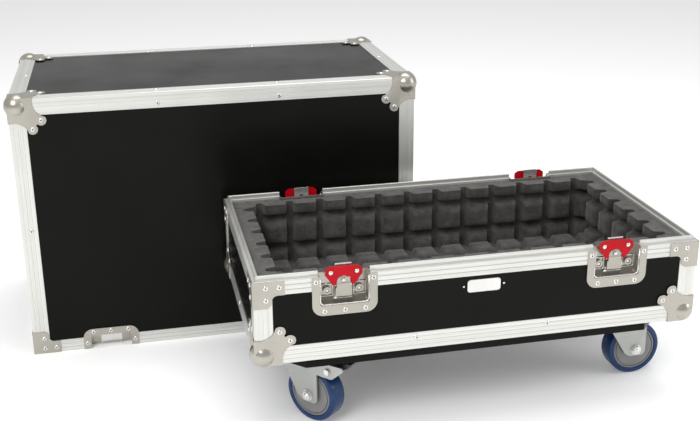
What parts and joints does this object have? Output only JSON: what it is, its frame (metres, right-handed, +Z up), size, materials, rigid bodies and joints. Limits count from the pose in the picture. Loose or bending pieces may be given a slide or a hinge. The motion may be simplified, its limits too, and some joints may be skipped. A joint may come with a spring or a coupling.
{
  "type": "amplifier road case",
  "caption": "Foam-lined road case with ball corners and butterfly twist latches: a wheeled tray and its lift-off cover, standing open.",
  "frame": {"origin": "on the floor, in the middle of the open case's bounding box", "axes": "+Z up, +Y from the tray back to the standing cover, +X along the long sides"},
  "size_m": [1.1388, 0.8388, 0.5085],
  "materials": {
    "laminate": "birch plywood faced with glossy black laminate",
    "aluminium": "anodised, satin, with fine lengthwise lines",
    "steel": "pressed steel, zinc plated",
    "foam": "charcoal convoluted polyurethane foam",
    "red_enamel": "gloss red enamel",
    "blue_tread": "glossy blue polyurethane",
    "grey_plastic": "grey moulded nylon",
    "black_plastic": "black moulded nylon",
    "black_rubber": "black ribbed rubber"
  },
  "bodies": {
    "tray": {"tray_long_walls": "laminate", "tray_end_walls": "laminate", "tray_floor": "laminate", "caster_board": "laminate", "tray_rim": "aluminium", "tray_edges": "aluminium", "tray_ball_corners": "steel", "tray_braces": "steel", "tray_rivets": "aluminium", "tray_foam": "foam", "latch_dishes": "steel", "latch_backplates": "steel", "caster_plates": "steel"},
    "cover": {"cover_top": "laminate", "cover_long_walls": "laminate", "cover_end_walls": "laminate", "cover_rim": "aluminium", "cover_edges": "aluminium", "cover_ball_corners": "steel", "cover_braces": "steel", "cover_rivets": "aluminium", "cover_foam": "foam", "keeper_dishes": "steel", "keepers": "steel", "handle_dishes": "steel"},
    "handle_left": {"handle_left_bail": "steel", "handle_left_grip": "black_rubber"},
    "handle_right": {"handle_right_bail": "steel", "handle_right_grip": "black_rubber"},
    "latch_fl_turn": {"latch_fl_cam": "steel"},
    "latch_fl_wing": {"latch_fl_handle": "red_enamel"},
    "latch_fl_slide": {"latch_fl_hook": "steel"},
    "latch_fr_turn": {"latch_fr_cam": "steel"},
    "latch_fr_wing": {"latch_fr_handle": "red_enamel"},
    "latch_fr_slide": {"latch_fr_hook": "steel"},
    "latch_bl_turn": {"latch_bl_cam": "steel"},
    "latch_bl_wing": {"latch_bl_handle": "red_enamel"},
    "latch_bl_slide": {"latch_bl_hook": "steel"},
    "latch_br_turn": {"latch_br_cam": "steel"},
    "latch_br_wing": {"latch_br_handle": "red_enamel"},
    "latch_br_slide": {"latch_br_hook": "steel"},
    "swivel_fl": {"caster_fl_fork": "steel", "caster_fl_axle": "steel"},
    "wheel_fl": {"caster_fl_core": "grey_plastic", "caster_fl_tread": "blue_tread"},
    "pedal_fl": {"caster_fl_pedal": "black_plastic"},
    "swivel_fr": {"caster_fr_fork": "steel", "caster_fr_axle": "steel"},
    "wheel_fr": {"caster_fr_core": "grey_plastic", "caster_fr_tread": "blue_tread"},
    "swivel_bl": {"caster_bl_fork": "steel", "caster_bl_axle": "steel"},
    "wheel_bl": {"caster_bl_core": "grey_plastic", "caster_bl_tread": "blue_tread"},
    "pedal_bl": {"caster_bl_pedal": "black_plastic"},
    "swivel_br": {"caster_br_fork": "steel", "caster_br_axle": "steel"},
    "wheel_br": {"caster_br_core": "grey_plastic", "caster_br_tread": "blue_tread"}
  },
  "joints": [
    {"name": "cover_lift", "type": "slide", "parent": "tray", "child": "cover", "axis": [0, 0, 1], "range_m": [0, 0.31]},
    {"name": "handle_left_swing", "type": "hinge", "parent": "cover", "child": "handle_left", "pos_m": [-0.553, 0.212, 0.29], "axis": [0, 1, 0], "range_deg": [0, 90], "stiffness_Nm_per_rad": 0.25, "springref_deg": -17.19},
    {"name": "handle_right_swing", "type": "hinge", "parent": "cover", "child": "handle_right", "pos_m": [0.179, 0.212, 0.29], "axis": [0, -1, 0], "range_deg": [0, 90], "stiffness_Nm_per_rad": 0.25, "springref_deg": -17.19},
    {"name": "latch_fl_twist", "type": "hinge", "parent": "tray", "child": "latch_fl_turn", "pos_m": [-0.043, -0.412, 0.281], "axis": [0, 1, 0], "range_deg": [0, 180]},
    {"name": "latch_fl_fold", "type": "hinge", "parent": "latch_fl_turn", "child": "latch_fl_wing", "pos_m": [-0.043, -0.4026, 0.2756], "axis": [1, 0, 0], "range_deg": [0, 90]},
    {"name": "latch_fl_hook_slide", "type": "slide", "parent": "tray", "child": "latch_fl_slide", "axis": [0, 0, 1], "range_m": [-0.01, 0]},
    {"name": "latch_fr_twist", "type": "hinge", "parent": "tray", "child": "latch_fr_turn", "pos_m": [0.417, -0.412, 0.281], "axis": [0, 1, 0], "range_deg": [0, 180]},
    {"name": "latch_fr_fold", "type": "hinge", "parent": "latch_fr_turn", "child": "latch_fr_wing", "pos_m": [0.417, -0.4026, 0.2756], "axis": [1, 0, 0], "range_deg": [0, 90]},
    {"name": "latch_fr_hook_slide", "type": "slide", "parent": "tray", "child": "latch_fr_slide", "axis": [0, 0, 1], "range_m": [-0.01, 0]},
    {"name": "latch_bl_twist", "type": "hinge", "parent": "tray", "child": "latch_bl_turn", "pos_m": [-0.043, -0.012, 0.281], "axis": [0, -1, 0], "range_deg": [0, 180]},
    {"name": "latch_bl_fold", "type": "hinge", "parent": "latch_bl_turn", "child": "latch_bl_wing", "pos_m": [-0.043, -0.0214, 0.2756], "axis": [-1, 0, 0], "range_deg": [0, 90]},
    {"name": "latch_bl_hook_slide", "type": "slide", "parent": "tray", "child": "latch_bl_slide", "axis": [0, 0, 1], "range_m": [-0.01, 0]},
    {"name": "latch_br_twist", "type": "hinge", "parent": "tray", "child": "latch_br_turn", "pos_m": [0.417, -0.012, 0.281], "axis": [0, -1, 0], "range_deg": [0, 180]},
    {"name": "latch_br_fold", "type": "hinge", "parent": "latch_br_turn", "child": "latch_br_wing", "pos_m": [0.417, -0.0214, 0.2756], "axis": [-1, 0, 0], "range_deg": [0, 90]},
    {"name": "latch_br_hook_slide", "type": "slide", "parent": "tray", "child": "latch_br_slide", "axis": [0, 0, 1], "range_m": [-0.01, 0]},
    {"name": "caster_fl_swivel", "type": "hinge", "parent": "tray", "child": "swivel_fl", "pos_m": [-0.102, -0.302, 0.11], "axis": [0, 0, 1], "continuous": true},
    {"name": "caster_fl_roll", "type": "hinge", "parent": "swivel_fl", "child": "wheel_fl", "pos_m": [-0.07732, -0.33089, 0.05], "axis": [0.7604, 0.6494, 0], "continuous": true},
    {"name": "caster_fl_brake", "type": "hinge", "parent": "swivel_fl", "child": "pedal_fl", "pos_m": [-0.05004, -0.36283, 0.107], "axis": [0.7604, 0.6494, 0], "range_deg": [0, 15]},
    {"name": "caster_fr_swivel", "type": "hinge", "parent": "tray", "child": "swivel_fr", "pos_m": [0.476, -0.302, 0.11], "axis": [0, 0, 1], "continuous": true},
    {"name": "caster_fr_roll", "type": "hinge", "parent": "swivel_fr", "child": "wheel_fr", "pos_m": [0.51395, -0.30001, 0.05], "axis": [-0.0523, 0.9986, 0], "continuous": true},
    {"name": "caster_bl_swivel", "type": "hinge", "parent": "tray", "child": "swivel_bl", "pos_m": [-0.102, -0.122, 0.11], "axis": [0, 0, 1], "continuous": true},
    {"name": "caster_bl_roll", "type": "hinge", "parent": "swivel_bl", "child": "wheel_bl", "pos_m": [-0.06458, -0.1154, 0.05], "axis": [-0.1736, 0.9848, 0], "continuous": true},
    {"name": "caster_bl_brake", "type": "hinge", "parent": "swivel_bl", "child": "pedal_bl", "pos_m": [-0.02321, -0.10811, 0.107], "axis": [-0.1736, 0.9848, 0], "range_deg": [0, 15]},
    {"name": "caster_br_swivel", "type": "hinge", "parent": "tray", "child": "swivel_br", "pos_m": [0.476, -0.122, 0.11], "axis": [0, 0, 1], "continuous": true},
    {"name": "caster_br_roll", "type": "hinge", "parent": "swivel_br", "child": "wheel_br", "pos_m": [0.51044, -0.10594, 0.05], "axis": [-0.4226, 0.9063, 0], "continuous": true}
  ],
  "couplings": [
    {"joint": "latch_fl_hook_slide", "follows": "latch_fl_twist", "m_per_rad": -0.0031831},
    {"joint": "latch_fr_hook_slide", "follows": "latch_fr_twist", "m_per_rad": -0.0031831},
    {"joint": "latch_bl_hook_slide", "follows": "latch_bl_twist", "m_per_rad": -0.0031831},
    {"joint": "latch_br_hook_slide", "follows": "latch_br_twist", "m_per_rad": -0.0031831}
  ]
}
